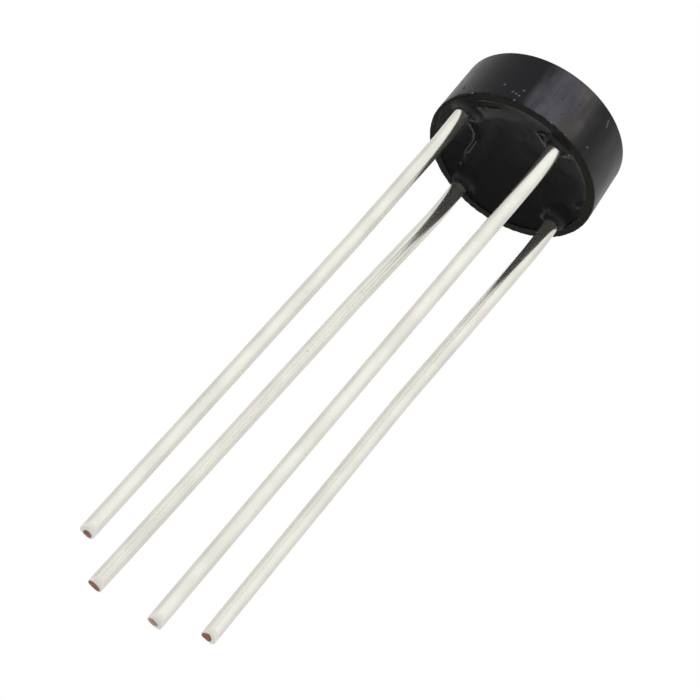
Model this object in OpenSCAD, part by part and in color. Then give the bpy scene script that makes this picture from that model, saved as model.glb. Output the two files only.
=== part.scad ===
// Round bridge rectifier: a plastic cup filled with epoxy, with four leads under it.
// Millimetres. The origin is the centre of the cup's rim, the plane that seats on a
// board: the closed end is up (+Z) and the leads go down. Four silicon dice lie
// between two levels of coined lead blades: the AC blades below, the DC blades above.

/* [Case] */
// Diameter of the cup across its rim
case_d = 8.9; // [8.8:0.1:11]
// Narrowing of the cup's outer radius from its rim to its closed end
case_draft = 0.12; // [0:0.02:0.4]
// Height of the cup from its rim to its closed end
case_h = 3.3; // [3.0:0.1:5.6]
// Thickness of the side wall at the rim
case_wall = 0.43; // [0.30:0.01:0.45]
// Thickness of the closed end
roof_t = 0.65; // [0.3:0.05:0.9]
// Narrowing of the cavity's radius from the rim to its roof
cavity_draft = 0.09; // [0:0.01:0.12]
// Radius of the closed end's outer edge
top_edge_r = 0.10; // [0.02:0.01:0.3]
// Radius of the rim's outer edge
rim_edge_r = 0.05; // [0.02:0.01:0.12]
// Radius in the corner between the cavity's wall and roof
cavity_corner_r = 0.25; // [0.05:0.05:0.5]

/* [Epoxy fill] */
// Depth of the fill's surface below the rim, at the wall
fill_edge_depth = 0.12; // [0.05:0.01:0.2]
// Depth of the fill's surface below the rim, at the centre
fill_centre_depth = 0.30; // [0.1:0.01:0.35]
// How far the epoxy climbs a lead past the rim's plane
collar_climb = 0.40; // [0.2:0.05:1.0]
// Thickness of the collar's lip against the lead
collar_lip = 0.04; // [0.02:0.01:0.1]
// How far a collar spreads over the rim's face
collar_over_rim = 0.14; // [0:0.02:0.3]

/* [Leads] */
// Side of the square that the four leads stand on
lead_pitch = 5.08; // [4.2:0.02:5.1]
// Diameter of a lead
lead_d = 0.76; // [0.6:0.02:0.9]
// Length of a lead that runs square to the rim before its first bend
lead_straight = 1.6; // [1.4:0.1:4]
// Radius of a lead's slight bends, at its centreline
lead_bend_r = 8; // [3:0.5:20]
// How much thinner a lead's radius is drawn in a bend
bend_thinning = 0.004; // [0.003:0.001:0.01]
// Direction that the leads shift and lean to, in degrees from +X
lean_azimuth = 202; // [0:1:359]
// Length of the first AC lead from the rim to its tip
ac_1_length = 31.0; // [20:0.1:40]
// How far the first AC lead leaves the epoxy from its place on the square
ac_1_shift = 0.05; // [-0.24:0.01:0.24]
// Lean of the first AC lead after its first and second bend
ac_1_lean = [3.3, 4.1]; // [0:0.1:8]
// Run of the first AC lead between its two bends
ac_1_run = 8.0; // [2:0.1:16]
// Length of the second AC lead from the rim to its tip
ac_2_length = 30.0; // [20:0.1:40]
// How far the second AC lead leaves the epoxy from its place on the square
ac_2_shift = 0.10; // [-0.24:0.01:0.24]
// Lean of the second AC lead after its first and second bend
ac_2_lean = [4.0, 2.7]; // [0:0.1:8]
// Run of the second AC lead between its two bends
ac_2_run = 11.5; // [2:0.1:16]
// Length of the positive lead, the longest, from the rim to its tip
positive_length = 33.8; // [20:0.1:40]
// How far the positive lead leaves the epoxy from its place on the square
positive_shift = 0.21; // [-0.24:0.01:0.24]
// Lean of the positive lead after its first and second bend
positive_lean = [3.7, 3.2]; // [0:0.1:8]
// Run of the positive lead between its two bends
positive_run = 6.0; // [2:0.1:16]
// Length of the negative lead from the rim to its tip
negative_length = 30.3; // [20:0.1:40]
// How far the negative lead leaves the epoxy from its place on the square
negative_shift = 0.05; // [-0.24:0.01:0.24]
// Lean of the negative lead after its first and second bend
negative_lean = [5.4, 4.5]; // [0:0.1:8]
// Run of the negative lead between its two bends
negative_run = 7.0; // [2:0.1:16]

/* [Lead tips] */
// Angle between a sheared tip's slopes and the lead's axis
tip_slope = 58; // [30:1:80]
// Width of the flat that the shears leave at a tip
tip_flat = 0.34; // [0.05:0.01:0.5]
// Direction that a tip's first slope faces, in degrees from +X
tip_azimuth = 286; // [0:1:359]

/* [Blades inside] */
// Thickness of the coined end of a lead
blade_t = 0.40; // [0.2:0.02:0.5]
// Width of a blade where it lies on its dice
blade_w = 1.10; // [1.06:0.02:1.3]
// Width of the neck that rises from the wire and bends over to the blade
neck_w = 1.00; // [0.6:0.05:1.05]
// Depth of the AC blades' lower face inside the rim
blade_depth = 0.70; // [0.5:0.05:0.8]
// Radius of a blade's right-angle bend, at its middle
blade_bend_r = 0.45; // [0.25:0.01:0.6]

/* [Dice] */
// Distance along each side from a lead's axis in to the centre of the nearest die
die_inset = 1.24; // [1.1:0.02:1.6]
// Side of a square die
die_side = 1.40; // [1.1:0.05:1.5]
// Thickness of a die
die_t = 0.28; // [0.2:0.01:0.4]
// Radius of a die's corners
die_corner_r = 0.10; // [0.02:0.01:0.3]
// Diameter of a solder disc
solder_d = 1.04; // [0.7:0.02:1.08]
// Thickness of a solder disc
solder_t = 0.05; // [0.03:0.01:0.1]
// Width of the protective coating round a die
coating_w = 0.15; // [0.05:0.01:0.25]

/* [Hidden] */
$fn = 64;
fine_fn = 256;                         // for the shallow dish, cut from a large sphere
corner_steps = 6;                      // straight cuts in a rounded edge's profile
overshoot = 1;                         // how far a cutter runs past what it cuts
bend_overlap = 0.02;                   // how far a straight run reaches into a bend

case_r = case_d / 2;
case_top_r = case_r - case_draft;
cavity_r = case_r - case_wall;
cavity_roof_r = cavity_r - cavity_draft;
cavity_h = case_h - roof_t;
side_lean = atan2(case_draft, case_h);               // of the outer wall, from upright
cavity_lean = atan2(cavity_draft, cavity_h);         // of the inner wall, from upright

dish_sag = fill_centre_depth - fill_edge_depth;
dish_r = (cavity_r * cavity_r + dish_sag * dish_sag) / (2 * dish_sag);

lead_r = lead_d / 2;
die_pitch = lead_pitch - 2 * die_inset;              // between neighbouring dice
lead_reach = lead_pitch / sqrt(2);                   // of a lead's axis from the centre
site_reach = die_pitch / sqrt(2);                    // of a die's centre from the centre
dish_at_lead = fill_centre_depth - dish_r + sqrt(dish_r * dish_r - lead_reach * lead_reach);
collar_r = collar_climb + dish_at_lead;              // of the collar's hollow flank

ac_z = blade_depth;                                  // lower face of the AC blades
lower_solder_z = ac_z + blade_t;
die_z = lower_solder_z + solder_t;
upper_solder_z = die_z + die_t;
dc_z = upper_solder_z + solder_t;                    // lower face of the DC blades

// Each corner is [x, y] in signs, and each die is named after the two leads it joins.
AC_1 = [-1, -1];
AC_2 = [1, 1];
POSITIVE = [1, -1];
NEGATIVE = [-1, 1];
SITES = [
    [AC_1, ac_1_shift], [AC_2, ac_2_shift],
    [POSITIVE, positive_shift], [NEGATIVE, negative_shift],
];
DICE = [
    ["ac_1_negative", [-1, -1]],
    ["ac_1_positive", [1, -1]],
    ["ac_2_negative", [-1, 1]],
    ["ac_2_positive", [1, 1]],
];

// ---- small helpers ----

// Points of an arc about centre c, from angle a to angle b.
function arc(c, r, a, b) =
    [for (i = [0:corner_steps]) let (t = a + (b - a) * i / corner_steps)
        [c[0] + r * cos(t), c[1] + r * sin(t)]];

// Direction of a corner from the centre, in degrees from +X.
function corner_azimuth(corner) = atan2(corner[1], corner[0]);

module at_corner(corner, pitch, z = 0) {
    translate([corner[0] * pitch / 2, corner[1] * pitch / 2, z]) children();
}

// Where a wire leaves the epoxy, turned so that +X is the way it leans.
module at_exit(corner, shift) {
    at_corner(corner, lead_pitch) rotate(lean_azimuth) translate([shift, 0, 0]) children();
}

// A square with round corners, from squares and true circles.
module rounded_square(side, r) {
    square([side, side - 2 * r], center = true);
    square([side - 2 * r, side], center = true);
    for (x = [-1, 1], y = [-1, 1])
        translate([x * (side / 2 - r), y * (side / 2 - r)]) circle(r);
}

// A strip of blade width between two points, with round ends.
module strip(a, b) {
    run = b - a;
    translate(a) rotate(atan2(run[1], run[0]))
        translate([0, -blade_w / 2]) square([norm(run), blade_w]);
    for (p = [a, b]) translate(p) circle(blade_w / 2);
}

// ---- the cup ----

module case_outline() {
    polygon(concat(
        [[0, 0]],
        arc([case_r - rim_edge_r, rim_edge_r], rim_edge_r, -90, side_lean),
        arc([case_top_r - top_edge_r, case_h - top_edge_r], top_edge_r, side_lean, 90),
        [[0, case_h]]
    ));
}

// The cavity runs below the rim's plane, so that it opens the cup when it is cut out.
module cavity_outline(below) {
    polygon(concat(
        [[0, -below], [cavity_r, -below], [cavity_r, 0]],
        arc([cavity_roof_r - cavity_corner_r, cavity_h - cavity_corner_r],
            cavity_corner_r, cavity_lean, 90),
        [[0, cavity_h]]
    ));
}

module case() {
    color("#1b1c20")
        rotate_extrude()
            difference() {
                case_outline();
                cavity_outline(overshoot);
            }
}

// ---- the epoxy ----

// Epoxy drawn up a lead: a flare with a hollow flank that ends in a thin lip.
module collar() {
    lip_r = lead_r + collar_lip;
    rotate_extrude()
        difference() {
            translate([0, -collar_climb])
                square([lip_r + collar_r, collar_r + dish_sag]);
            translate([lip_r + collar_r, -collar_climb]) circle(collar_r);
        }
}

module fill_body() {
    difference() {
        rotate_extrude() cavity_outline(0);
        translate([0, 0, fill_centre_depth - dish_r]) sphere(dish_r, $fn = fine_fn);
    }
    intersection() {
        union() {
            for (s = SITES) at_exit(s[0], s[1]) collar();
        }
        union() {
            translate([0, 0, -collar_climb])
                cylinder(r = cavity_r + collar_over_rim, h = collar_climb);
            cylinder(r = cavity_roof_r, h = collar_r);
        }
    }
}

module epoxy_fill() {
    color("#101112")
        difference() {
            fill_body();
            inner_parts();
        }
}

// Everything that the epoxy holds, as one cutter.
module inner_parts() {
    for (s = SITES) {
        at_exit(s[0], s[1])
            translate([0, 0, -collar_climb - overshoot])
                cylinder(r = lead_r, h = collar_climb + overshoot);
        coined_end(s[0]);
    }
    for (d = DICE) {
        die_body(d[1]);
        solder_disc(d[1], lower_solder_z);
        solder_disc(d[1], upper_solder_z);
        coating_ring(d[1]);
    }
}

// ---- the leads ----

function is_ac(corner) = corner[0] == corner[1];

// The far die site of a blade: AC blades run along X and DC blades along Y.
function far_site(corner) =
    is_ac(corner) ? [-corner[0], corner[1]] : [corner[0], -corner[1]];

// The coined end inside the cup: its neck rises beside the wall, bends inwards and
// runs to the near die, where the blade turns to lie under or over two dice.
module coined_end(corner) {
    z = is_ac(corner) ? ac_z : dc_z;
    rise = z + blade_t / 2 - blade_bend_r;
    neck_run = lead_reach - site_reach - blade_bend_r;
    at_corner(corner, lead_pitch)
        rotate(corner_azimuth(corner)) {
            translate([-blade_t / 2, -neck_w / 2, 0]) cube([blade_t, neck_w, rise]);
            translate([-blade_bend_r, 0, rise])
                rotate([90, 0, 0])
                    rotate_extrude(angle = 90)
                        translate([blade_bend_r, 0])
                            square([blade_t, neck_w], center = true);
            translate([-blade_bend_r - neck_run, -neck_w / 2, z])
                cube([neck_run, neck_w, blade_t]);
        }
    translate([0, 0, z])
        linear_extrude(blade_t)
            strip(corner * die_pitch / 2, far_site(corner) * die_pitch / 2);
}

// A slight bend of the wire, by turn degrees towards +X, and what hangs below it.
// The straight runs reach into it from both sides and are a little thicker.
module wire_bend(turn) {
    side = turn < 0 ? 1 : 0;
    swing = abs(turn);
    mirror([side, 0, 0]) {
        translate([lead_bend_r, 0, 0])
            rotate([90, 180, 0])
                rotate_extrude(angle = swing)
                    translate([lead_bend_r, 0]) circle(lead_r - bend_thinning);
        translate([lead_bend_r * (1 - cos(swing)), 0, -lead_bend_r * sin(swing)])
            rotate([0, -swing, 0])
                mirror([side, 0, 0]) children();
    }
}

// A straight run of wire, down from above to below its start.
module wire(above, below) {
    translate([0, 0, -below]) cylinder(r = lead_r, h = above + below);
}

// The last stretch of a lead, pinched off by shears: two slopes that leave a flat.
module sheared_wire(length) {
    difference() {
        wire(bend_overlap, length);
        for (side = [0, 180])
            rotate([0, 0, tip_azimuth - lean_azimuth + side])
                translate([tip_flat / 2, 0, -length])
                    rotate([0, -tip_slope, 0])
                        translate([-lead_d, -lead_d, -2 * lead_d])
                            cube([3 * lead_d, 2 * lead_d, 2 * lead_d]);
    }
}

// The wire below the cup: a square start, two slight bends and a sheared tip.
module wire_outside(site, length, lean, run) {
    bent = lead_bend_r * (lean[0] + abs(lean[1] - lean[0])) * PI / 180;
    at_exit(site[0], site[1]) {
        wire(0, lead_straight + bend_overlap);
        translate([0, 0, -lead_straight])
            wire_bend(lean[0]) {
                wire(bend_overlap, run + bend_overlap);
                translate([0, 0, -run])
                    wire_bend(lean[1] - lean[0])
                        sheared_wire(length - lead_straight - bent - run);
            }
    }
}

module lead(site, length, lean, run) {
    color("#c9c8bf") {
        wire_outside(site, length, lean, run);
        coined_end(site[0]);
    }
}

// ---- the dice ----

module die_body(corner) {
    at_corner(corner, die_pitch, die_z)
        linear_extrude(die_t) rounded_square(die_side, die_corner_r);
}

module solder_disc(corner, z) {
    at_corner(corner, die_pitch, z) cylinder(d = solder_d, h = solder_t);
}

module coating_ring(corner) {
    at_corner(corner, die_pitch, die_z)
        linear_extrude(die_t)
            difference() {
                rounded_square(die_side + 2 * coating_w, die_corner_r + coating_w);
                rounded_square(die_side, die_corner_r);
            }
}

module die(corner) {
    color("#5b5f6b") die_body(corner);
}

module solder(corner, z) {
    color("#a9abad") solder_disc(corner, z);
}

module coating(corner) {
    color("#e8e4da") coating_ring(corner);
}

case();
epoxy_fill();
lead(SITES[0], ac_1_length, ac_1_lean, ac_1_run);  // lead_ac_1
lead(SITES[1], ac_2_length, ac_2_lean, ac_2_run);  // lead_ac_2
lead(SITES[2], positive_length, positive_lean, positive_run);  // lead_positive
lead(SITES[3], negative_length, negative_lean, negative_run);  // lead_negative
for (d = DICE) {
    die(d[1]);
    solder(d[1], lower_solder_z);
    solder(d[1], upper_solder_z);
    coating(d[1]);
}
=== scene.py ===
import bmesh
import bpy
import math
from mathutils import Matrix, Vector, noise
from mathutils.geometry import delaunay_2d_cdt

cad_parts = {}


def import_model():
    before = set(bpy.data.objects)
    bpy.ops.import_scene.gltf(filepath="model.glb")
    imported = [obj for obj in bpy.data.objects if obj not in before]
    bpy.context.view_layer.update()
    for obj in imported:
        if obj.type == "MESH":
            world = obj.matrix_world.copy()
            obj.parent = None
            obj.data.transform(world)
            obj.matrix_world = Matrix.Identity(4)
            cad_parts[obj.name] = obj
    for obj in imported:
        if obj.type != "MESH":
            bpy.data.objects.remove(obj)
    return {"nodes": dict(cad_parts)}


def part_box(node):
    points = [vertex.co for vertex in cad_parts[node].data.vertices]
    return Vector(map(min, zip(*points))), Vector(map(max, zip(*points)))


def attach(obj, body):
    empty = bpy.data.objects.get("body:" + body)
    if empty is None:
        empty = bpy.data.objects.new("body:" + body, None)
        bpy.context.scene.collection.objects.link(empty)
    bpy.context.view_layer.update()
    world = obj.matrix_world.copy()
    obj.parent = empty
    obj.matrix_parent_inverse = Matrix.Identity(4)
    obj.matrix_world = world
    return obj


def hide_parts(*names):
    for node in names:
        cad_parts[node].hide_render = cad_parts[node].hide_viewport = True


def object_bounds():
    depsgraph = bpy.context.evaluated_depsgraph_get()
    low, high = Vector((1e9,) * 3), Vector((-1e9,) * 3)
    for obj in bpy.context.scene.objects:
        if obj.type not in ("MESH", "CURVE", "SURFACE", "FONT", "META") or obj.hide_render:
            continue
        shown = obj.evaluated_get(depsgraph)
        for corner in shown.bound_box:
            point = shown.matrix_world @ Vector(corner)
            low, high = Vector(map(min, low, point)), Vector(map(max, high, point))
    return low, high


# A round bridge rectifier seen from below: a moulded cup, its epoxy fill and four
# tinned leads. Lengths are in millimetres until a vertex is made, and the frame's
# axes are kept: the rim lies in z = 0, the closed end is up and the leads go down.

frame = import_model()
cad_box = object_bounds()

MM = 0.001
TAU = 2 * math.pi
TOUCH = 1e-7                       # metres: what is nearer than this is in the same place


def size_of(node):
    low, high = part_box(node)
    return low / MM, high / MM


# ---- the cup, in mm; what the frame doesn't give is as in the CAD ----
CASE_R = size_of("case")[1].x
CASE_H = size_of("case")[1].z
CASE_DRAFT = 0.12
CASE_WALL = 0.43
CAVITY_DRAFT = 0.09
ROOF_T = 0.65
TOP_EDGE_R = 0.10
RIM_EDGE_R = 0.05
CAVITY_CORNER_R = 0.25
CAVITY_R = CASE_R - CASE_WALL
CAVITY_H = CASE_H - ROOF_T
CASE_COLUMNS = 640
ROOF_ROW = 1.0                     # width of the rows of faces, from the cavity's roof
CAVITY_ROW = 0.6                   # to the middle of the closed end
RIM_ROW = 0.03
WALL_ROW = 0.07
TOP_ROW = 0.3
ARC_STEPS = 6

# ---- the epoxy ----
FILL_EDGE_DEPTH = 0.12
FILL_CENTRE_DEPTH = 0.30
DISH_SAG = FILL_CENTRE_DEPTH - FILL_EDGE_DEPTH
DISH_R = (CAVITY_R ** 2 + DISH_SAG ** 2) / (2 * DISH_SAG)
COLLAR_CLIMB = 0.40                # how far a collar climbs its lead, from the rim's plane
COLLAR_LIP = 0.04
COLLAR_UNEVEN = 0.5                # how much steeper a collar's flank gets in places
FILL_GRAIN = 0.05                  # spacing of the surface's points
FILL_COLUMNS = 480

# ---- the leads ----
LEAD_PITCH = 5.08
LEAD_R = 0.38
LEAD_STRAIGHT = 1.6
LEAD_BEND_R = 8.0
EASY_BEND_R = 32.0                 # the bends' radius here, round the same corners
LEAN_AZIMUTH = math.radians(202)
FLAT_LIFT = 0.07                   # hides the step between a neck and its shifted exit
TIP_DRAW = 0.24                    # how far the shears drew the tin down over a tip
TIP_FLAT = 0.36                    # width across the shears that keeps its full length
TIP_AZIMUTH = math.radians(286)
TIP_ROUGHNESS = 0.012
SKIN_WAVER = 0.005                 # share of a lead's radius
RING_STEP = 0.3                    # between rings of a lead's mesh
TAIL_RINGS = (0.45, 0.37)          # two plain rings this far behind a tip
# rings of a sheared end: how far behind the tip, and the share of the lead's radius
TIP_RINGS = [(0.06, 1.0), (0.035, 0.985), (0.018, 0.96), (0.006, 0.93)]
TIP_RINGS += [(0.0, share) for share in (0.9, 0.86, 0.8, 0.74, 0.68, 0.62, 0.56, 0.5, 0.42,
                                         0.34, 0.26, 0.18, 0.1)]
LEADS = {
    # name: corner of the square, shift at the exit, leans in degrees, run, length
    "lead_ac_1": ((-1, -1), 0.05, (3.3, 4.1), 8.0, 31.1),
    "lead_ac_2": ((1, 1), 0.10, (4.0, 2.7), 11.5, 30.07),
    "lead_positive": ((1, -1), 0.21, (3.7, 3.2), 6.0, 33.8),
    "lead_negative": ((-1, 1), 0.05, (5.4, 4.5), 7.0, 30.3),
}
# the copper that shows at a tip: half sizes across the shears and along them, how far its
# middle lies along them, and how bare it is
CORES = {"lead_ac_1": (0.21, 0.22, 0.05, 1.0), "lead_ac_2": (0.26, 0.25, -0.08, 1.0),
         "lead_positive": (0.19, 0.26, -0.07, 0.72), "lead_negative": (0.20, 0.33, -0.02, 1.0)}
CORE_EDGE = (0.85, 1.25)           # the copper fades out between these shares of its half size

# ---- camera ----
CAMERA_AT = Vector((59.66, -146.46, -123.39))
VIEW = Vector((-0.31487, 0.76005, 0.56849))
ROLL = math.radians(36.67)
LENS = 215.96
SENSOR = 36


# ---- small helpers ----

def smooth(low, high, x):
    t = min(1.0, max(0.0, (x - low) / (high - low)))
    return t * t * (3 - 2 * t)


def bump_of(distance, width):
    return math.exp(-(distance / width) ** 2)


def turn_between(a, b):
    """The angle from b to a, in degrees within 180 either way."""
    return (math.degrees(a) - b + 180) % 360 - 180


def arc(centre, radius, start, end):
    """Points (r, z) of a quarter-round edge, by angles in degrees."""
    steps = [math.radians(start + (end - start) * i / ARC_STEPS) for i in range(ARC_STEPS + 1)]
    return [(centre[0] + radius * math.cos(a), centre[1] + radius * math.sin(a)) for a in steps]


def between(a, b, step):
    """Points from a to b, without either end, no further apart than step."""
    count = math.ceil(math.dist(a, b) / step)
    return [tuple(Vector(a).lerp(Vector(b), i / count)) for i in range(1, count)]


def path_distance(point, path):
    """Distance from a point to a polyline, how far along it the nearest place is, and
    whether the point lies on its right."""
    best, along, right = 1e9, 0.0, False
    for i, (a, b) in enumerate(zip(path, path[1:])):
        run = b - a
        off = point - a
        t = min(1.0, max(0.0, off.dot(run) / run.length_squared))
        d = (off - run * t).length
        if d < best:
            best, along = d, (i + t) / (len(path) - 1)
            right = run.x * off.y - run.y * off.x < 0
    return best, along, right


def stitch(bm, ring, other):
    """Faces between two closed rings, either of which may be a single point."""
    count = max(len(ring), len(other))
    for i in range(count):
        j = (i + 1) % count
        corners = [ring[i % len(ring)], ring[j % len(ring)],
                   other[j % len(other)], other[i % len(other)]]
        bm.faces.new(list(dict.fromkeys(corners)))


def lathe(bm, profile, columns, place):
    """Turns a profile of (r, z) about the z axis; place gives each point's (x, y, z)."""
    rings = []
    for r, z in profile:
        angles = [TAU * i / columns for i in range(columns if r else 1)]
        rings.append([bm.verts.new(Vector(place(r, z, a)) * MM) for a in angles])
    for ring, other in zip(rings, rings[1:]):
        stitch(bm, ring, other)
    return rings


def direction_of(azimuth, elevation):
    """A unit vector from angles in degrees."""
    a, e = math.radians(azimuth), math.radians(elevation)
    return (math.cos(a) * math.cos(e), math.sin(a) * math.cos(e), math.sin(e))


def turned(r, z, angle):
    return (r * math.cos(angle), r * math.sin(angle), z)


def piece(name, bm, finish, node, sharp=40):
    """Makes a closed mesh into an object that stands for a CAD node."""
    bmesh.ops.recalc_face_normals(bm, faces=bm.faces)
    mesh = bpy.data.meshes.new(name)
    bm.to_mesh(mesh)
    bm.free()
    mesh.polygons.foreach_set("use_smooth", [True] * len(mesh.polygons))
    mesh.set_sharp_from_angle(angle=math.radians(sharp))
    mesh.materials.append(finish)
    obj = bpy.data.objects.new(name, mesh)
    bpy.context.scene.collection.objects.link(obj)
    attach(obj, "root")
    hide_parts(node)


# ---- shader helpers ----

def add(tree, kind, inputs=None, **settings):
    """Adds a node. An input is given a value, or is linked to an output."""
    n = tree.nodes.new(kind)
    for name, value in settings.items():
        setattr(n, name, value)
    for name, value in (inputs or {}).items():
        if isinstance(value, bpy.types.NodeSocket):
            tree.links.new(value, n.inputs[name])
        else:
            n.inputs[name].default_value = value
    return n


def maths(tree, operation, a, b=0.0, c=0.0):
    return add(tree, "ShaderNodeMath", {0: a, 1: b, 2: c}, operation=operation).outputs[0]


def product(tree, first, *others):
    for other in others:
        first = maths(tree, "MULTIPLY", first, other)
    return first


def length_of(tree, vector):
    return add(tree, "ShaderNodeVectorMath", {0: vector}, operation="LENGTH").outputs["Value"]


def mixed(tree, factor, a, b):
    inputs = {0: factor, 6: a, 7: b}
    return add(tree, "ShaderNodeMix", inputs, data_type="RGBA").outputs[2]


def spread(tree, value, low, high, to_low=0.0, to_high=1.0):
    """Maps a range of a value to another, smoothly."""
    inputs = {"Value": value, "From Min": low, "From Max": high,
              "To Min": to_low, "To Max": to_high}
    return add(tree, "ShaderNodeMapRange", inputs, interpolation_type="SMOOTHSTEP").outputs[0]


def grey(level):
    return (level, level, level, 1.0)


def place_mm(tree):
    """The object's own coordinates in millimetres."""
    coordinates = add(tree, "ShaderNodeTexCoord").outputs["Object"]
    scaled = add(tree, "ShaderNodeVectorMath", {0: coordinates, "Scale": 1 / MM}, operation="SCALE")
    return scaled.outputs[0]


def grain(tree, place, stretch, detail=3.0, roughness=0.5, shift=0.0):
    """Noise from 0 to 1; stretch is how many grains there are to a millimetre each way."""
    n = add(tree, "ShaderNodeVectorMath", {0: place, 1: stretch, 2: (shift, shift, shift)},
            operation="MULTIPLY_ADD")
    inputs = {"Vector": n.outputs[0], "Scale": 1.0, "Detail": detail, "Roughness": roughness}
    return add(tree, "ShaderNodeTexNoise", inputs).outputs[0]


def specks(tree, place, stretch, low, high, shift=0.0):
    """Scattered dots: 1 where a fine noise is over high, and 0 where it is under low."""
    return spread(tree, grain(tree, place, stretch, detail=2, shift=shift), low, high)


def attribute(tree, name):
    return add(tree, "ShaderNodeAttribute", attribute_name=name).outputs["Fac"]


def relief(tree, height, depth, strength=1.0, normal=None):
    """A normal bent by a height from 0 to 1 that stands for a depth in millimetres."""
    inputs = {"Height": height, "Distance": depth * MM, "Strength": strength}
    if normal is not None:
        inputs["Normal"] = normal
    return add(tree, "ShaderNodeBump", inputs).outputs[0]


def material(name):
    m = bpy.data.materials.new(name)
    m.use_nodes = True
    tree = m.node_tree
    return m, tree, tree.nodes["Principled BSDF"]


def wire(tree, shader, **inputs):
    """Sets the shader's inputs; an underscore stands for a space in a name."""
    for name, value in inputs.items():
        socket = shader.inputs[name.replace("_", " ")]
        if isinstance(value, bpy.types.NodeSocket):
            tree.links.new(value, socket)
        else:
            socket.default_value = value


# ---- the cup's plastic ----
PLASTIC = (0.0058, 0.0060, 0.0076, 1)
PLASTIC_SHEEN = (0.95, 0.95, 1.0, 1)
PLASTIC_GLOSS = 0.14
PLASTIC_ROUGHNESS = (0.24, 0.36)
# painted shade of small pits: darker specks on the smooth wall
PIT_SHADE_LEVEL = 0.004
# the wall's painted sheen, pale bands standing in for the studio light it mirrors: from one azimuth
# to another, how softly it ends, and how strong it is
PAINTED_SHEEN_BANDS = [(-70, -59, 25, 0.96), (-72, -64, 10, 0.16), (-20, 30, 20, 0.30),
              (-180, -142, 12, 0.30)]
SHEEN_WANDER = 16.0                 # degrees that the painted sheen's edges wander
PAINTED_SHEEN_COLD = (0.090, 0.086, 0.105, 1)
PAINTED_SHEEN_WARM = (0.094, 0.083, 0.083, 1)
SHEEN_WARMTH = 0.012                     # how much warmer the painted sheen gets with each degree
SHEEN_GAP = (-92, -84, 7)             # a dark streak of painted shade, a gap in the painted sheen, and how softly it ends
SHEEN_GAP_WANDER = 10.0
SHEEN_TOP = (CASE_H - 0.15, CASE_H - 0.02)  # the painted sheen ends between these heights
RIM_COLOUR = (0.0160, 0.0160, 0.0115, 1)
RIM_LEVEL = 0.034                  # where the rim is torn pale
RIM_CLIMB = 0.13                   # how far the rim's colour climbs the wall in places
RIM_HEIGHTS = (0.012, 0.03)        # the rim's colour ends between these heights
RIM_ROUGHER = 0.2
RIM_RELIEF = 0.014
CRUMB_HEIGHTS = (0.02, 0.20)       # crumbs fade out between these heights
CRUMB_STRENGTH = 0.55
FLECK_COLOUR = (0.34, 0.34, 0.33, 1)
SCRATCH_COLOUR = (0.26, 0.23, 0.08, 1)


def azimuth_of(tree, place):
    """Azimuth round the z axis, in degrees from -180 to 180, and the height."""
    xyz = add(tree, "ShaderNodeSeparateXYZ", {0: place}).outputs
    return maths(tree, "MULTIPLY", maths(tree, "ARCTAN2", xyz[1], xyz[0]), 360 / TAU), xyz[2]


def band(tree, azimuth, low, high, soft):
    """1 between two azimuths, falling off softly outside them."""
    rise = spread(tree, azimuth, low - soft, low)
    fall = spread(tree, azimuth, high, high + soft, 1.0, 0.0)
    return product(tree, rise, fall)


def painted_wall_sheen(tree, place, azimuth, height, cloud):
    """How strongly the wall's painted sheen shows, from 0 to 1."""
    flow = grain(tree, place, (1.6, 1.6, 0.5), detail=4)
    wander = maths(tree, "MULTIPLY_ADD", flow, SHEEN_WANDER, -SHEEN_WANDER / 2)
    around = maths(tree, "ADD", azimuth, wander)
    painted_sheen = 0.0
    for low, high, soft, strength in PAINTED_SHEEN_BANDS:
        painted_sheen = maths(tree, "MULTIPLY_ADD", band(tree, around, low, high, soft), strength, painted_sheen)
    # painted shade: a dark streak where the painted sheen is left out
    sheen_gap = band(tree, maths(tree, "MULTIPLY_ADD", flow, SHEEN_GAP_WANDER, azimuth), *SHEEN_GAP)
    clear = maths(tree, "SUBTRACT", 1.0, sheen_gap)
    clouded = spread(tree, cloud, 0.30, 0.68, 0.66, 1.0)
    drawn = grain(tree, place, (3.6, 3.6, 0.35), detail=4, shift=15)
    sheen_streaks = spread(tree, drawn, 0.32, 0.66, 0.76, 1.12)
    side = spread(tree, height, *SHEEN_TOP, 1.0, 0.0)
    return maths(tree, "MINIMUM", product(tree, painted_sheen, clear, clouded, sheen_streaks, side), 1.0)


def rim_cover(tree, place, height):
    """1 on the rim and where its colour climbs the wall."""
    ragged = grain(tree, place, (4.5, 4.5, 4.5), detail=6, roughness=0.75, shift=11)
    climb = maths(tree, "MULTIPLY_ADD", spread(tree, ragged, 0.46, 0.72), -RIM_CLIMB, height)
    return spread(tree, climb, *RIM_HEIGHTS, 1.0, 0.0)


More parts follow.
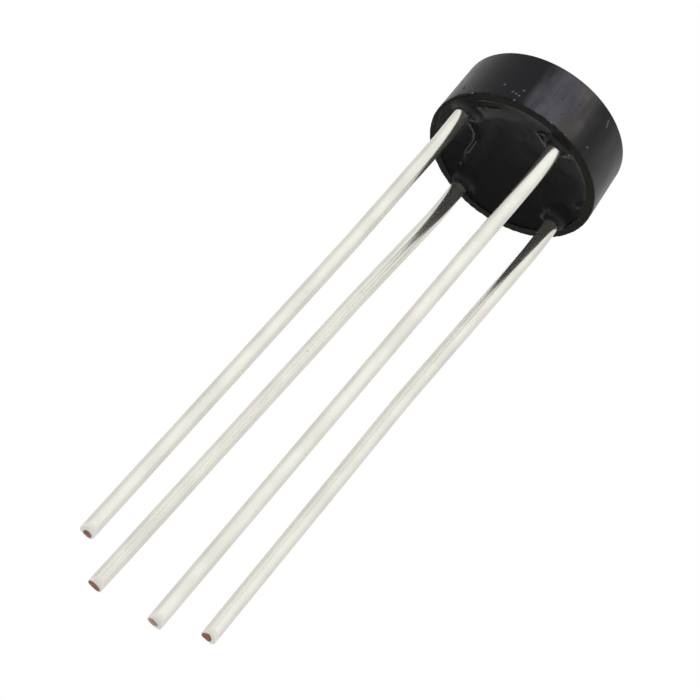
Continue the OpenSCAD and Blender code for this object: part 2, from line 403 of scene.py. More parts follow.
def case_plastic():
    m, tree, shader = material("case_plastic")
    place = place_mm(tree)
    azimuth, height = azimuth_of(tree, place)
    cloud = grain(tree, place, (0.8, 0.8, 0.8), detail=5, shift=7)
    # painted sheen: pale bands on the wall where it would mirror the studio's light, warmer or
    # colder by azimuth
    painted_sheen = painted_wall_sheen(tree, place, azimuth, height, cloud)
    warmth = spread(tree, maths(tree, "MULTIPLY_ADD", azimuth, SHEEN_WARMTH, cloud), -0.38, -0.10)
    sheen_tint = mixed(tree, warmth, PAINTED_SHEEN_COLD, PAINTED_SHEEN_WARM)
    # darker specks: painted shade of pits that have no depth
    pit_shade = specks(tree, place, (7, 7, 7), 0.70, 0.76, shift=3)
    on_rim = rim_cover(tree, place, height)
    rim_grain = grain(tree, place, (5, 5, 5), detail=6, roughness=0.7)
    torn = mixed(tree, spread(tree, rim_grain, 0.58, 0.74), RIM_COLOUR, grey(RIM_LEVEL))
    crumbs = specks(tree, place, (10, 10, 10), 0.70, 0.78, shift=13)
    crumbs = product(tree, crumbs, spread(tree, height, *CRUMB_HEIGHTS, CRUMB_STRENGTH, 0.0))
    fleck, scratch = attribute(tree, "fleck"), attribute(tree, "scratch")
    colour = PLASTIC
    # painted light: the sheen bands and the pits' shade; the rim, crumbs, flecks and scratch are
    # the plastic's own marks
    for cover, over in ((painted_sheen, sheen_tint), (pit_shade, grey(PIT_SHADE_LEVEL)), (on_rim, torn),
                        (crumbs, FLECK_COLOUR), (fleck, FLECK_COLOUR), (scratch, SCRATCH_COLOUR)):
        colour = mixed(tree, cover, colour, over)
    roughness = spread(tree, cloud, 0.3, 0.7, *PLASTIC_ROUGHNESS)
    roughness = maths(tree, "MULTIPLY_ADD", on_rim, RIM_ROUGHER, roughness)
    normal = relief(tree, grain(tree, place, (14, 14, 9), detail=3), 0.0016)
    normal = relief(tree, rim_grain, RIM_RELIEF, strength=on_rim, normal=normal)
    wire(tree, shader, Base_Color=colour, Roughness=roughness, Normal=normal)
    wire(tree, shader, Specular_IOR_Level=PLASTIC_GLOSS, Specular_Tint=PLASTIC_SHEEN)
    return m


# ---- the epoxy ----
EPOXY = (0.0078, 0.0078, 0.0088, 1)
# paler base colour where the fill spilt over the rim: painted sheen standing in for the light its
# slopes catch
EPOXY_SPILT_SHEEN = (0.023, 0.0225, 0.0215, 1)
EPOXY_DUST = (0.030, 0.030, 0.028, 1)
EPOXY_GLOSS = 0.28
EPOXY_ROUGHNESS = (0.13, 0.22)
WETTED_ROUGHER = 0.25              # added beside a lead
SPILT_SHEEN = (-165, -140, 30)           # azimuths of the painted sheen on the spilt skin, and how softly it ends
SPILT_SHEEN_FROM = (2.4, 3.5)            # the painted sheen begins between these radii


def epoxy():
    m, tree, shader = material("epoxy")
    place = place_mm(tree)
    azimuth, _ = azimuth_of(tree, place)
    # painted sheen: the spilt skin is paler towards the rim
    outwards = spread(tree, length_of(tree, place), *SPILT_SHEEN_FROM)
    spilt = product(tree, band(tree, azimuth, *SPILT_SHEEN), outwards)
    colour = mixed(tree, spilt, EPOXY, EPOXY_SPILT_SHEEN)
    colour = mixed(tree, specks(tree, place, (9, 9, 9), 0.74, 0.80), colour, EPOXY_DUST)
    bloom = grain(tree, place, (0.9, 0.9, 0.9), detail=4, shift=5)
    roughness = spread(tree, bloom, 0.3, 0.7, *EPOXY_ROUGHNESS)
    wetted = attribute(tree, "wetted")
    roughness = maths(tree, "MULTIPLY_ADD", wetted, WETTED_ROUGHER, roughness)
    normal = relief(tree, grain(tree, place, (2.2, 2.2, 2.2), detail=3), 0.0016)
    wire(tree, shader, Base_Color=colour, Roughness=roughness, Normal=normal)
    wire(tree, shader, Specular_IOR_Level=EPOXY_GLOSS)
    return m


# ---- the leads' tin and their copper core ----
TIN = (0.88, 0.865, 0.785, 1)
TIN_DULL = (0.80, 0.785, 0.715, 1)
TIN_SMEARED = (0.93, 0.92, 0.85, 1)
TIN_SPECK = (0.36, 0.35, 0.30, 1)
COPPER = (0.40, 0.165, 0.130, 1)
COPPER_DARK = (0.27, 0.105, 0.090, 1)
TIN_METALLIC = 0.92
TIN_ROUGHNESS = (0.15, 0.22)
TIN_DULLED = (-4.0, -9.0)          # the tin turns duller between these heights
TIN_DULLER = 0.09
SHEARED_METALLIC = 0.15
SHEARED_ROUGHER = 0.2


def copper_colour(tree, core_grain):
    """The bare copper's colour, and how far it shows."""
    colour = mixed(tree, spread(tree, core_grain, 0.4, 0.6), COPPER_DARK, COPPER)
    shown = maths(tree, "MULTIPLY_ADD", core_grain, 0.2, attribute(tree, "core"))
    return colour, spread(tree, shown, 0.40, 1.0)


def tinned_copper():
    m, tree, shader = material("tinned_copper")
    place = place_mm(tree)
    blotch = grain(tree, place, (1.1, 1.1, 0.5), detail=4, shift=4)
    core_grain = grain(tree, place, (9, 9, 9), detail=4, shift=2)
    sheared = attribute(tree, "sheared")
    copper, shown = copper_colour(tree, core_grain)
    colour = mixed(tree, spread(tree, blotch, 0.35, 0.65), TIN_DULL, TIN)
    colour = mixed(tree, specks(tree, place, (6, 6, 3), 0.73, 0.80, shift=9), colour, TIN_SPECK)
    colour = mixed(tree, sheared, colour, TIN_SMEARED)
    colour = mixed(tree, shown, colour, copper)
    _, height = azimuth_of(tree, place)
    roughness = spread(tree, blotch, 0.3, 0.7, *TIN_ROUGHNESS)
    roughness = maths(tree, "ADD", roughness, spread(tree, height, *TIN_DULLED, 0.0, TIN_DULLER))
    roughness = maths(tree, "MULTIPLY_ADD", sheared, SHEARED_ROUGHER, roughness)
    normal = relief(tree, grain(tree, place, (2.2, 2.2, 0.4), detail=2), 0.0040)
    normal = relief(tree, core_grain, 0.002, strength=sheared, normal=normal)
    less = SHEARED_METALLIC - TIN_METALLIC
    metallic = maths(tree, "MULTIPLY_ADD", sheared, less, TIN_METALLIC)
    wire(tree, shader, Base_Color=colour, Roughness=roughness, Normal=normal, Metallic=metallic)
    return m


# ---- what the cup hides ----
# finishes: two colours, grains to a millimetre, metallic, roughness
HIDDEN = {
    "silicon": ((0.10, 0.11, 0.13, 1), (0.14, 0.15, 0.19, 1), 3, 0.6, 0.30),
    "solder": ((0.50, 0.51, 0.52, 1), (0.38, 0.39, 0.40, 1), 6, 1.0, 0.38),
    "coating": ((0.80, 0.77, 0.70, 1), (0.70, 0.67, 0.60, 1), 4, 0.0, 0.55),
}
HIDDEN_NODES = {"die": "silicon", "solder": "solder", "coating": "coating"}


def hidden_material(name, colour, other, size, metallic, roughness):
    """A mottled finish for the small parts that the epoxy holds."""
    m, tree, shader = material(name)
    place = place_mm(tree)
    mottle = grain(tree, place, (size, size, size), detail=4)
    mix = mixed(tree, spread(tree, mottle, 0.35, 0.65), colour, other)
    rough = spread(tree, mottle, 0.3, 0.7, roughness - 0.06, roughness + 0.06)
    wire(tree, shader, Base_Color=mix, Roughness=rough, Metallic=metallic)
    wire(tree, shader, Normal=relief(tree, mottle, 0.004))
    return m


def finish_hidden_nodes():
    finishes = {name: hidden_material(name, *values) for name, values in HIDDEN.items()}
    for name, obj in frame["nodes"].items():
        finish = HIDDEN_NODES.get(name.split("_")[0])
        if finish:
            obj.data.materials.clear()
            obj.data.materials.append(finishes[finish])


# ---- the cup's shape ----
CHIP_DEPTH = 0.035                 # of the wear along the rim's outer edge
CHIP_REACH = 0.10
CHIP_INWARDS = 0.6                 # share of a chip's height that it also goes inwards
RIM_RIPPLE = 0.006
WALL_RIPPLE = 0.004
UNWORN = 0.2                       # height of the wall under the closed end that stays plain
# azimuth, depth and width in degrees of the rim's larger nicks
NICKS = [(-132.4, 0.05, 2.2), (-92.0, 0.045, 1.4), (-58.0, 0.035, 1.2), (-44.0, 0.04, 1.6)]
# azimuth and height of pale specks on the wall
FLECKS = [(-102.8, 0.89), (-95.0, 0.57), (-92.5, 0.51), (-90.1, 0.46), (-89.6, 0.89),
          (-35.8, 0.69), (-91.0, 0.09), (-120.6, 0.05), (-64.0, 0.04)]
FLECK_SIZE = 0.035
PIT = (-132.4, 0.62)
PIT_SIZE = 0.06
PIT_DEPTH = 0.05
SCRATCH = [(-33.9, 2.87), (-32.2, 2.49)]
SCRATCH_SIZE = 0.022


def cavity_corner(start, end):
    """The rounded corner between the cavity's wall and its roof."""
    centre = (CAVITY_R - CAVITY_DRAFT - CAVITY_CORNER_R, CAVITY_H - CAVITY_CORNER_R)
    return arc(centre, CAVITY_CORNER_R, start, end)


def case_profile():
    """From the middle of the cavity's roof, over the rim, to the middle of the closed end."""
    corner = cavity_corner(90, 2)
    rim_edge = arc((CASE_R - RIM_EDGE_R, RIM_EDGE_R), RIM_EDGE_R, -90, 4)
    top_r = CASE_R - CASE_DRAFT
    top_edge = arc((top_r - TOP_EDGE_R, CASE_H - TOP_EDGE_R), TOP_EDGE_R, 4, 90)
    lip = (CAVITY_R, 0.0)
    profile = [(0, CAVITY_H)] + between((0, CAVITY_H), corner[0], ROOF_ROW) + corner
    profile += between(corner[-1], lip, CAVITY_ROW) + [lip] + between(lip, rim_edge[0], RIM_ROW)
    profile += rim_edge + between(rim_edge[-1], top_edge[0], WALL_ROW) + top_edge
    return profile + between(top_edge[-1], (0, CASE_H), TOP_ROW) + [(0, CASE_H)]


def chip_depth(here, angle):
    """How deep the rim's outer edge is worn or nicked."""
    worn = 0.35 + noise.noise(here * 6.5) + 0.6 * noise.noise(here * 17)
    chip = CHIP_DEPTH * max(0.0, worn)
    for azimuth, depth, width in NICKS:
        chip += depth * bump_of(turn_between(angle, azimuth), width)
    return chip


def case_point(r, z, angle):
    here = Vector(turned(r, z, angle))
    if r > CAVITY_R + 0.01 and z < CASE_H - UNWORN:
        r += WALL_RIPPLE * noise.noise(Vector((here.x * 0.6, here.y * 0.6, z * 0.25)))
        wear = max(0.0, 1 - math.hypot(r - CASE_R, z) / CHIP_REACH)
        chip = chip_depth(here, angle)
        r -= wear * chip * CHIP_INWARDS
        z += wear * chip
        if z < 0.02:
            ripple = RIM_RIPPLE * (0.6 + noise.noise(here * 4.0))
            z += ripple * smooth(CAVITY_R, CAVITY_R + 0.06, r)
    if r > CAVITY_R + 0.1:
        pit = math.hypot(r * math.radians(turn_between(angle, PIT[0])), z - PIT[1])
        r -= PIT_DEPTH * bump_of(pit, PIT_SIZE)
    return turned(r, z, angle)


def on_wall(azimuth, z):
    r = CASE_R - CASE_DRAFT * z / CASE_H
    return Vector(turned(r, z, math.radians(azimuth)))


def mark_wall(bm):
    """Writes the pale specks and the scratch as weights of the mesh's points."""
    fleck = bm.verts.layers.float.new("fleck")
    scratch = bm.verts.layers.float.new("scratch")
    spots = [on_wall(a, z) for a, z in FLECKS]
    line = [on_wall(a, z) for a, z in SCRATCH]
    for v in bm.verts:
        here = v.co / MM
        if here.y < 0:
            v[fleck] = max(bump_of((here - s).length, FLECK_SIZE) for s in spots)
            v[scratch] = bump_of(path_distance(here, line)[0], SCRATCH_SIZE)


def make_case(plastic):
    bm = bmesh.new()
    lathe(bm, case_profile(), CASE_COLUMNS, case_point)
    mark_wall(bm)
    piece("cup", bm, plastic, "case")


# ---- the leads' shape ----

def leaning(angle_of_lean):
    """A lead's direction and its in-plane normal, for a lean from straight down."""
    c, s = math.cos(LEAN_AZIMUTH), math.sin(LEAN_AZIMUTH)
    lean = Vector((c, s, 0))
    down = Vector((0, 0, -1))
    direction = lean * math.sin(angle_of_lean) + down * math.cos(angle_of_lean)
    normal = lean * math.cos(angle_of_lean) - down * math.sin(angle_of_lean)
    return direction, normal


def exit_of(name):
    """Where a lead's axis leaves the epoxy, in the rim's plane."""
    corner, shift = LEADS[name][:2]
    lean = leaning(0)[1]
    return Vector((corner[0], corner[1], 0)) * LEAD_PITCH / 2 + lean * shift


EXITS = [exit_of(name) for name in LEADS]


def lead_stretches(name):
    """A lead's straights and bends: the length of each, and its lean at either end."""
    leans, run, length = LEADS[name][2:]
    first, second = math.radians(leans[0]), math.radians(leans[1])
    change = abs(second - first)
    last = length - LEAD_STRAIGHT - LEAD_BEND_R * (first + change) - run
    upper = (EASY_BEND_R - LEAD_BEND_R) * math.tan(first / 2)
    lower = (EASY_BEND_R - LEAD_BEND_R) * math.tan(change / 2)
    return [(LEAD_STRAIGHT - upper, 0, 0), (EASY_BEND_R * first, 0, first),
            (run - upper - lower, first, first), (EASY_BEND_R * change, first, second),
            (last - lower, second, second)]


def lead_axis(name):
    """Points along a lead's axis from the rim to its tip: (place, direction, normal)."""
    at = exit_of(name)
    axis = [(at.copy(), *leaning(0))]
    for stretch, start, end in lead_stretches(name):
        count = max(1, math.ceil(stretch / RING_STEP))
        for i in range(count):
            middle = start + (end - start) * (i + 0.5) / count
            at = at + leaning(middle)[0] * stretch / count
            axis.append((at.copy(), *leaning(start + (end - start) * (i + 1) / count)))
    return axis


def inner_faces(bm, centre):
    """Keeps a lead's coined end and the flat round it, and gives its open ring's points."""
    low = [f for f in bm.faces if min(v.co.z for v in f.verts) < -TOUCH]
    bmesh.ops.delete(bm, geom=low, context="FACES")
    bmesh.ops.remove_doubles(bm, verts=bm.verts, dist=TOUCH)
    ring = {v for e in bm.edges if e.is_boundary for v in e.verts}
    for v in bm.verts:
        if v not in ring and abs(v.co.z) < TOUCH:
            v.co.z = FLAT_LIFT * MM

    def angle_of(v):
        return math.atan2(v.co.y - centre.y * MM, v.co.x - centre.x * MM)

    return sorted(ring, key=angle_of)


def own_angles(ring, centre):
    """A ring's angles about the lead's own axis. It points down, so they run the other way."""
    lean = leaning(0)[1]
    turn = math.atan2(lean.y, lean.x)
    return [turn - math.atan2(v.co.y / MM - centre.y, v.co.x / MM - centre.x) for v in ring]


def tip_retreat(u):
    """How far a sheared tip falls short of its end, at a distance u across the shears."""
    half = TIP_FLAT / 2
    return TIP_DRAW * (max(0.0, abs(u) - half) / (LEAD_R - half)) ** 2


def lead_surface(name, place, direction, normal, angle, r, tip):
    """A point of a lead's skin, or of its sheared end where tip is true."""
    side = direction.cross(normal)
    waver = Vector((math.cos(angle) * 1.4, math.sin(angle) * 1.4, place.z * 0.45))
    skin = 1 + SKIN_WAVER * noise.noise(waver + exit_of(name))
    point = place + (normal * math.cos(angle) + side * math.sin(angle)) * r * skin
    if tip:
        u = r * math.cos(angle - TIP_AZIMUTH + LEAN_AZIMUTH)
        rough = TIP_ROUGHNESS * noise.noise(point * 6)
        point = point - direction * (tip_retreat(u) + rough)
    return point


def bare_copper(name, angle, r):
    """How far a point of a tip shows the copper core, from 0 to 1."""
    across, along, shift, bare = CORES[name]
    turn = angle - TIP_AZIMUTH + LEAN_AZIMUTH
    off = math.hypot(r * math.cos(turn) / across, (r * math.sin(turn) - shift) / along)
    return bare * (1 - smooth(*CORE_EDGE, off))


def make_lead(name, tin):
    bm = bmesh.new()
    bm.from_mesh(frame["nodes"][name].data)
    core = bm.verts.layers.float.new("core")
    sheared = bm.verts.layers.float.new("sheared")
    ring = inner_faces(bm, exit_of(name))
    angles = own_angles(ring, exit_of(name))

    def next_ring(ring, place, direction, normal, r=LEAD_R, tip=False):
        made = []
        for a in angles:
            v = bm.verts.new(lead_surface(name, place, direction, normal, a, r, tip) * MM)
            v[core] = bare_copper(name, a, r) if tip else 0.0
            v[sheared] = 1.0 if tip else 0.0
            made.append(v)
        stitch(bm, ring, made)
        return made

    axis = lead_axis(name)
    end, direction, normal = axis[-1]
    for place, along, across in axis[1:]:
        if (end - place).dot(direction) > TAIL_RINGS[0]:
            ring = next_ring(ring, place, along, across)
    for back in TAIL_RINGS:
        ring = next_ring(ring, end - direction * back, direction, normal)
    for back, share in TIP_RINGS:
        ring = next_ring(ring, end - direction * back, direction, normal, LEAD_R * share, True)
    middle = bm.verts.new(end * MM)
    middle[core] = CORES[name][-1]
    middle[sheared] = 1.0
    stitch(bm, ring, [middle])
    piece(name.replace("lead", "wire"), bm, tin, name, sharp=50)


# ---- the epoxy's shape ----
SPILL_AZIMUTH = -143               # where the fill runs out over the rim
SPILL_WIDTH = 30                   # degrees, as the next width
SPILL_REACH = 0.30
COLLAR_SPILL = 0.13                # a collar also reaches over the rim
COLLAR_SPILL_WIDTH = 8.5
SPILL_SHORT = 0.015                # a spill thinner than this is none
SPILL_Z = -0.012
FLOOD_WIDTH = SPILL_WIDTH * 1.15   # inside the spill the surface rises to the rim
FLOOD_RADII = (2.7, 3.85)          # between these radii
FLOOD_GAIN = 1.5
MENISCUS = 0.035                   # how far the surface climbs the wall
MENISCUS_WIDTH = 0.12
FILL_RIPPLE = 0.007
FINE_RIPPLE = FILL_RIPPLE * 0.35
WETTED_REACH = (0.55, 0.95)        # from an exit, the epoxy's dull film ends between these
SEAM = 0.004                       # how far the spill's edge sinks into the rim
COLLAR_STEPS = 72                  # points of a ring round an exit
COLLAR_REACH = 0.95                # radius that those rings reach
COLLAR_FIRST_STEP = 0.012          # between the first two, and how much it grows outwards
COLLAR_GROWTH = 0.12
RING_MARGIN = 0.02                 # the rings' and the grid's points keep these distances
GRID_MARGIN = 0.03                 # from the surface's outline
# ridges of the hardened surface: width on the left and right, height, points
FOLDS = [
    (0.105, 0.11, 0.125, [(-2.30, -1.52), (-2.18, -1.38), (-2.05, -1.06), (-2.08, -0.56),
                          (-2.28, -0.03), (-2.49, 0.49), (-2.73, 1.33)]),
    (0.055, 0.07, 0.050, [(1.50, -2.37), (1.38, -2.58), (1.24, -2.76), (1.37, -2.88), (1.58, -2.90),
                          (1.66, -2.78)]),
    (0.05, 0.06, 0.040, [(1.50, -2.37), (1.66, -2.26), (1.86, -2.16)]),
    (0.05, 0.06, 0.050, [(-2.33, -2.98), (-2.02, -3.10), (-1.69, -3.20)]),
    (0.05, 0.06, 0.050, [(-1.45, -3.26), (-1.15, -3.34), (-0.85, -3.42)]),
    (0.24, 0.24, 0.075, [(1.95, 2.08), (2.25, 2.42), (2.55, 2.50)]),
    (0.12, 0.12, 0.030, [(3.44, 1.11), (3.60, 0.95), (3.74, 0.72)]),
]
FOLD_PATHS = [(*sizes, [Vector(p) for p in points]) for *sizes, points in FOLDS]
FOLD_REACH = 3.0                   # widths of a fold beyond which it's nothing
FOLD_FOOT = 0.35                   # share of its height that a fold has at its ends


def fill_edge_r(angle):
    """Radius of the epoxy's outline: the cavity's, and further where it spills."""
    spill = SPILL_REACH * bump_of(turn_between(angle, SPILL_AZIMUTH), SPILL_WIDTH)
    for at in EXITS:
        azimuth = math.degrees(math.atan2(at.y, at.x))
        lap = bump_of(turn_between(angle, azimuth), COLLAR_SPILL_WIDTH)
        spill = max(spill, COLLAR_SPILL * lap)
    spill *= 1 + 0.25 * noise.noise(Vector((math.cos(angle), math.sin(angle), 0)) * 5)
    return CAVITY_R + max(0.0, spill - SPILL_SHORT)


def collar_z(offset, dish):
    """The collar's hollow flank, level with the dish at its foot and narrower in places."""
    radius = COLLAR_CLIMB + dish
    uneven = noise.noise(Vector((*offset.normalized(), dish * 4)) * 0.9)
    narrower = 1 + COLLAR_UNEVEN * smooth(-0.25, 0.35, uneven)
    run = min(radius, radius - narrower * (offset.length - LEAD_R - COLLAR_LIP))
    if run <= 0:
        return dish
    return dish - radius + math.sqrt(radius ** 2 - run ** 2)


def dish_z(r):
    """Height of the plain dished surface."""
    return FILL_CENTRE_DEPTH - DISH_R + math.sqrt(DISH_R ** 2 - r ** 2)


def folded(z, point):
    """A height of the surface with the folds' ridges."""
    for left, right, height, path in FOLD_PATHS:
        d, along, on_right = path_distance(point, path)
        width = right if on_right else left
        if d < width * FOLD_REACH:
            taper = smooth(0.0, 0.12, along) * smooth(1.0, 0.75, along)
            z -= height * bump_of(d, width) * (FOLD_FOOT + (1 - FOLD_FOOT) * taper)
    return z


def fill_z(x, y):
    """Height of the epoxy's surface; what stands out of the cup has a lower z."""
    r = math.hypot(x, y)
    inside = min(r, CAVITY_R)
    z = dish_z(inside)
    z -= MENISCUS * math.exp((inside - CAVITY_R) / MENISCUS_WIDTH)
    z += FILL_RIPPLE * noise.noise(Vector((x, y, 0)) * 0.9)
    z += FINE_RIPPLE * noise.noise(Vector((x, y, 5)) * 2.6)
    flood = bump_of(turn_between(math.atan2(y, x), SPILL_AZIMUTH), FLOOD_WIDTH)
    z += (SPILL_Z - z) * min(1.0, FLOOD_GAIN * flood) * smooth(*FLOOD_RADII, r)
    point = Vector((x, y))
    z = folded(z, point)
    if r > CAVITY_R:
        z = min(z, SPILL_Z)
    for at in EXITS:
        z = min(z, collar_z(point - at.xy, max(z, 0.0)))
    return z


def within_fill(p, margin):
    """True where a plan position lies inside the epoxy's outline by a margin."""
    return math.hypot(p.x, p.y) < fill_edge_r(math.atan2(p.y, p.x)) - margin


def collar_radii():
    """Radii of the rings of points round an exit, closest where a collar is steepest."""
    radii = [LEAD_R + COLLAR_LIP * 0.5, LEAD_R + COLLAR_LIP]
    while radii[-1] < COLLAR_REACH:
        growth = COLLAR_GROWTH * (radii[-1] - LEAD_R - COLLAR_LIP)
        radii.append(radii[-1] + COLLAR_FIRST_STEP + growth)
    return radii


def collar_points(radii):
    turns = [TAU * i / COLLAR_STEPS for i in range(COLLAR_STEPS)]
    around = [Vector((math.cos(a), math.sin(a))) for a in turns]
    points = [at.xy + step * radius for at in EXITS for radius in radii for step in around]
    return [p for p in points if within_fill(p, RING_MARGIN)]


def grid_points(clearance):
    """A triangular grid over the rest of the surface, clear of the rings round the exits."""
    row_step = FILL_GRAIN * math.sqrt(3) / 2
    rows = math.ceil((CAVITY_R + 0.4) / row_step)
    points = []
    for j in range(-rows, rows + 1):
        for i in range(-rows, rows + 1):
            p = Vector(((i + 0.5 * (j % 2)) * FILL_GRAIN, j * row_step))
            clear = all((p - at.xy).length > clearance for at in EXITS)
            if clear and within_fill(p, GRID_MARGIN):
                points.append(p)
    return points


def surface_plan(outline, holes):
    """Plan positions for the epoxy's surface, and its outline and bores as loops of indices."""
    points, loops = [], []
    for loop in [outline] + holes:
        loops.append(list(range(len(points), len(points) + len(loop))))
        points += loop
    radii = collar_radii()
    return points + collar_points(radii) + grid_points(radii[-1] + RING_MARGIN), loops


def held_faces(bm):
    """Keeps the faces that the epoxy shares with what it holds; drops its outside."""

    def kept(face):
        corners = [v.co / MM for v in face.verts]
        if all(abs(c.z) < 1e-4 for c in corners):
            middle = face.calc_center_median() / MM
            return any((middle - at).length < LEAD_R for at in EXITS)
        within = all(c.xy.length < CAVITY_R - 0.12 and c.z > -1e-4 for c in corners)
        above = any(c.z > dish_z(min(c.xy.length, CAVITY_R)) + 0.01 for c in corners)
        roof = all(c.z > CAVITY_H - 0.05 for c in corners)
        return within and above and not roof

    bmesh.ops.delete(bm, geom=[f for f in bm.faces if not kept(f)], context="FACES")
    bmesh.ops.remove_doubles(bm, verts=bm.verts, dist=TOUCH)


def open_rings(bm):
    """The open ring of points round each exit, sorted by angle about it."""
    loose = {v for e in bm.edges if e.is_boundary for v in e.verts}
    rings = []
    for at in EXITS:
        near = [v for v in loose if (v.co.xy / MM - at.xy).length < LEAD_R * 1.1]
        rings.append(sorted(near, key=lambda v: math.atan2(*reversed(v.co.xy / MM - at.xy))))
    return rings


def surface_point(bm, p, z, wetted):
    v = bm.verts.new(Vector((p.x, p.y, z)) * MM)
    v[wetted] = 1 - smooth(*WETTED_REACH, min((p - at.xy).length for at in EXITS))
    return v


def fill_surface(bm, rings, angles, wetted):
    """The surface that shows, stitched to the rings round the exits; gives its outer edge."""
    outline = [Vector(turned(fill_edge_r(a), 0, a)).xy for a in angles]
    holes = [[v.co.xy / MM for v in ring] for ring in rings]
    points, loops = surface_plan(outline, holes)
    edges = [(loop[i - 1], loop[i]) for loop in loops for i in range(len(loop))]
    flat, _, triangles, origins, _, _ = delaunay_2d_cdt(points, edges, [], 1, 1e-5)
    place_of = {i: n for n, sources in enumerate(origins) for i in sources}
    outer, *bores = [[place_of[i] for i in loop] for loop in loops]
    on_bore = {n for bore in bores for n in bore}
    spilt = {n for n in outer if flat[n].length > CAVITY_R + 1e-4}
    made = []
    for n, p in enumerate(flat):
        z = -COLLAR_CLIMB if n in on_bore else fill_z(p.x, p.y)
        made.append(surface_point(bm, p, SEAM if n in spilt else z, wetted))
    for t in triangles:
        middle = sum((flat[i] for i in t), Vector((0, 0))) / 3
        if all((middle - at.xy).length > LEAD_R * 0.995 for at in EXITS):
            bm.faces.new([made[i] for i in t])
    for ring, bore in zip(rings, bores):
        stitch(bm, ring, [made[n] for n in bore])
    return [made[n] for n in outer]


def make_epoxy(resin):
    bm = bmesh.new()
    bm.from_mesh(frame["nodes"]["epoxy_fill"].data)
    wetted = bm.verts.layers.float.new("wetted")
    held_faces(bm)
    angles = [TAU * i / FILL_COLUMNS for i in range(FILL_COLUMNS)]
    edge = fill_surface(bm, open_rings(bm), angles, wetted)
    foot = [max(v.co.z / MM, 0.0) + SEAM for v in edge]
    wall = [bm.verts.new(Vector(turned(CAVITY_R, z, a)) * MM) for z, a in zip(foot, angles)]
    stitch(bm, edge, wall)
    shell = lathe(bm, cavity_corner(2, 90) + [(0, CAVITY_H)], FILL_COLUMNS, turned)
    stitch(bm, wall, shell[0])
    piece("epoxy", bm, resin, "epoxy_fill", sharp=60)


# ---- surroundings ----
FLOOR_COLOUR = (0.86, 0.86, 0.86, 1)
FLOOR_R = 1500.0
FLOOR_GAP = 0.8                     # below the longest lead's tip
FLOOR_FADE = (70.0, 420.0)          # the floor turns to white between these radii
FILL_LIGHT = 0.74                   # the world, as plain surfaces see it
# what metal and gloss mirror round the horizon: azimuth in degrees, and brightness, which
# counts as 1 where it is over 1
SURROUND = [(-180, 0.80), (-156, 0.80), (-141, 0.84), (-127, 0.92), (-113, 1.07), (-98, 1.19),
            (-80, 1.22), (-48, 1.20), (-25, 1.05), (-7, 0.96), (10, 0.88), (40, 0.82),
            (112, 0.76), (180, 0.80)]
DARK_HEIGHTS = (-0.60, -0.40)       # below these heights of a direction it is dark
DARK_LEVEL = 0.14
DARK_AZIMUTH = 112                  # on both sides of this azimuth the dark comes higher
DARK_LIFT = 0.28
DARK_RISE = (8, 30)
DARK_FALL = (50, 75)
SHADE_LEVEL = 0.9696                # a further dimming where the surround is dim
SHADE_FROM = (0.86, 1.12)
# soft boxes: azimuth, elevation, distance and size in mm, brightness
LAMPS = {"soft_box_front": (-62, 64, 300, 200, 0.8), "soft_box_top": (140, 62, 350, 200, 1.8)}


def camera():
    data = bpy.data.cameras.new("camera")
    data.lens = LENS
    data.sensor_width = SENSOR
    data.clip_start = 0.001
    obj = bpy.data.objects.new("camera", data)
    turn = VIEW.to_track_quat("-Z", "Y").to_matrix() @ Matrix.Rotation(ROLL, 3, "Z")
    obj.matrix_world = Matrix.Translation(CAMERA_AT * MM) @ turn.to_4x4()
    bpy.context.scene.collection.objects.link(obj)
    bpy.context.scene.camera = obj


def surround_ring(tree, azimuth):
    ramp = add(tree, "ShaderNodeValToRGB", {0: maths(tree, "MULTIPLY_ADD", azimuth, 1 / 360, 0.5)})
    stops = ramp.color_ramp.elements
    ramp.color_ramp.interpolation = "EASE"
    while len(stops) < len(SURROUND):
        stops.new(0.5)
    for stop, (at, level) in zip(stops, SURROUND):
        stop.position = (at + 180) / 360
        stop.color = grey(level / 2)
    return product(tree, ramp.outputs[0], 2.0)


def surround_level(tree):
    """Brightness of the studio for gloss, by the direction that is mirrored."""
    direction = add(tree, "ShaderNodeTexCoord").outputs["Generated"]
    azimuth, height = azimuth_of(tree, direction)
    ring = surround_ring(tree, azimuth)
    aside = maths(tree, "ABSOLUTE", maths(tree, "SUBTRACT", azimuth, DARK_AZIMUTH))
    rise = spread(tree, aside, *DARK_RISE, 0.0, DARK_LIFT)
    rise = maths(tree, "SUBTRACT", rise, spread(tree, aside, *DARK_FALL, 0.0, DARK_LIFT))
    height = maths(tree, "SUBTRACT", height, rise)
    lit = product(tree, ring, spread(tree, height, *DARK_HEIGHTS, DARK_LEVEL, 1.0))
    shade = spread(tree, ring, *SHADE_FROM, SHADE_LEVEL, 1.0)
    return product(tree, maths(tree, "MINIMUM", lit, 1.0), shade)


def world():
    w = bpy.data.worlds.new("world")
    bpy.context.scene.world = w
    w.use_nodes = True
    tree = w.node_tree
    rays = add(tree, "ShaderNodeLightPath").outputs
    glossy = rays["Is Glossy Ray"]
    diffuse = product(tree, maths(tree, "SUBTRACT", 1.0, glossy), FILL_LIGHT)
    lit = maths(tree, "MULTIPLY_ADD", glossy, surround_level(tree), diffuse)
    seen = maths(tree, "MAXIMUM", rays["Is Camera Ray"], rays["Is Transmission Ray"])
    unseen = maths(tree, "SUBTRACT", 1.0, seen)
    level = maths(tree, "MAXIMUM", seen, product(tree, lit, unseen))
    wire(tree, tree.nodes["Background"], Color=grey(1.0), Strength=level)


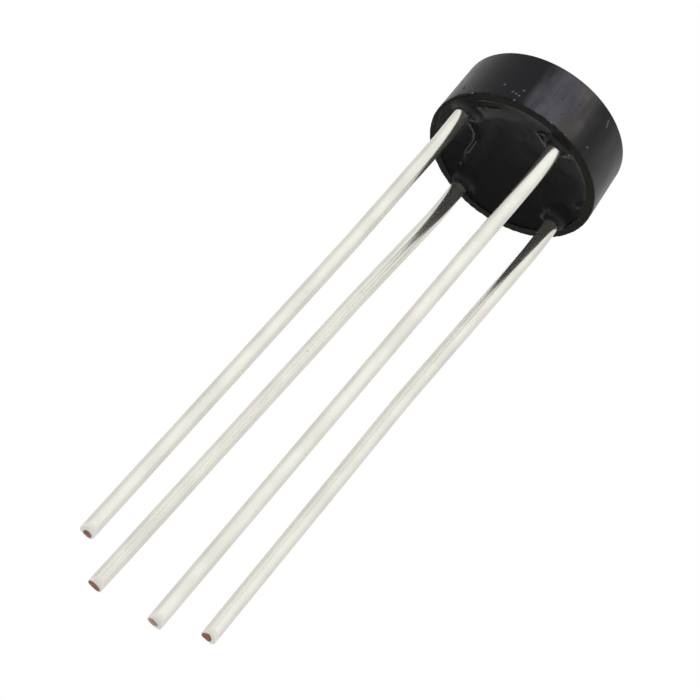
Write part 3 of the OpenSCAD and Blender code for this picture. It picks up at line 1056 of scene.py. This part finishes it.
def lamp(name, azimuth, elevation, distance, size, level):
    """A square soft box aimed at the part; level is its brightness seen head on."""
    data = bpy.data.lights.new(name, "AREA")
    data.size = size * MM
    data.energy = level * math.pi * (size * MM) ** 2
    obj = bpy.data.objects.new(name, data)
    away = Vector(direction_of(azimuth, elevation))
    turn = (-away).to_track_quat("-Z", "Y").to_matrix()
    obj.matrix_world = Matrix.Translation(away * distance * MM) @ turn.to_4x4()
    bpy.context.scene.collection.objects.link(obj)


def floor_material():
    """Pale from above and nothing from below; far away it turns to the white backdrop."""
    m, tree, shader = material("floor")
    wire(tree, shader, Base_Color=FLOOR_COLOUR, Roughness=0.9, Specular_IOR_Level=0.1)
    faded = spread(tree, length_of(tree, place_mm(tree)), *FLOOR_FADE)
    far = product(tree, faded, add(tree, "ShaderNodeLightPath").outputs["Is Camera Ray"])
    white = add(tree, "ShaderNodeEmission", {"Color": grey(1.0)}).outputs[0]
    top = add(tree, "ShaderNodeMixShader", {0: far, 1: shader.outputs[0], 2: white}).outputs[0]
    clear = add(tree, "ShaderNodeBsdfTransparent").outputs[0]
    under = add(tree, "ShaderNodeNewGeometry").outputs["Backfacing"]
    both = add(tree, "ShaderNodeMixShader", {0: under, 1: top, 2: clear}).outputs[0]
    tree.links.new(both, tree.nodes["Material Output"].inputs["Surface"])
    return m


def floor():
    bm = bmesh.new()
    bmesh.ops.create_circle(bm, cap_ends=True, segments=96, radius=FLOOR_R * MM)
    mesh = bpy.data.meshes.new("floor")
    bm.to_mesh(mesh)
    bm.free()
    mesh.materials.append(floor_material())
    obj = bpy.data.objects.new("floor", mesh)
    obj.location.z = cad_box[0][2] - FLOOR_GAP * MM
    obj.visible_glossy = False
    bpy.context.scene.collection.objects.link(obj)


def main():
    camera()
    world()
    for name, values in LAMPS.items():
        lamp(name, *values)
    floor()
    make_case(case_plastic())
    make_epoxy(epoxy())
    tin = tinned_copper()
    for name in LEADS:
        make_lead(name, tin)
    finish_hidden_nodes()
    bpy.context.scene.view_settings.view_transform = "Standard"


main()
